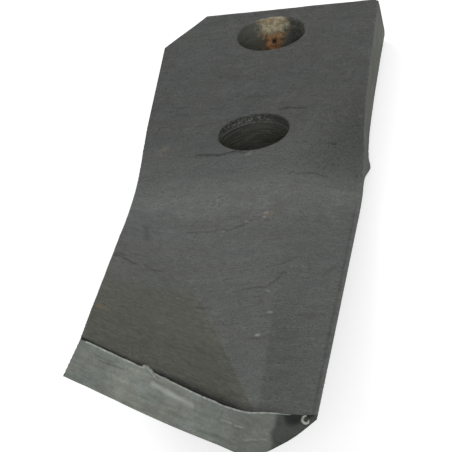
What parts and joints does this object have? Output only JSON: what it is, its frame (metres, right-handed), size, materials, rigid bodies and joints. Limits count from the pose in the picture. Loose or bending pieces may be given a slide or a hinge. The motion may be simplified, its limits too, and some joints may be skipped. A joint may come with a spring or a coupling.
{
  "type": "power harrow tine",
  "caption": "Forged power harrow tine: a flat bolting head on a bar that bends and folds into a broad twisted blade with a bevelled knife edge.",
  "frame": {"origin": "midway between the two bolt holes, on the back face of the head", "axes": "+Y runs along the head away from the blade, +Z out of the head's front face, +X across the bar towards the knife edge"},
  "size_m": [0.0661, 0.2486, 0.0519],
  "materials": {
    "forged_steel": "dull grey forging scale, with light rust and worn edges"
  },
  "bodies": {
    "root": {"harrow_tine": "forged_steel"}
  },
  "joints": []
}
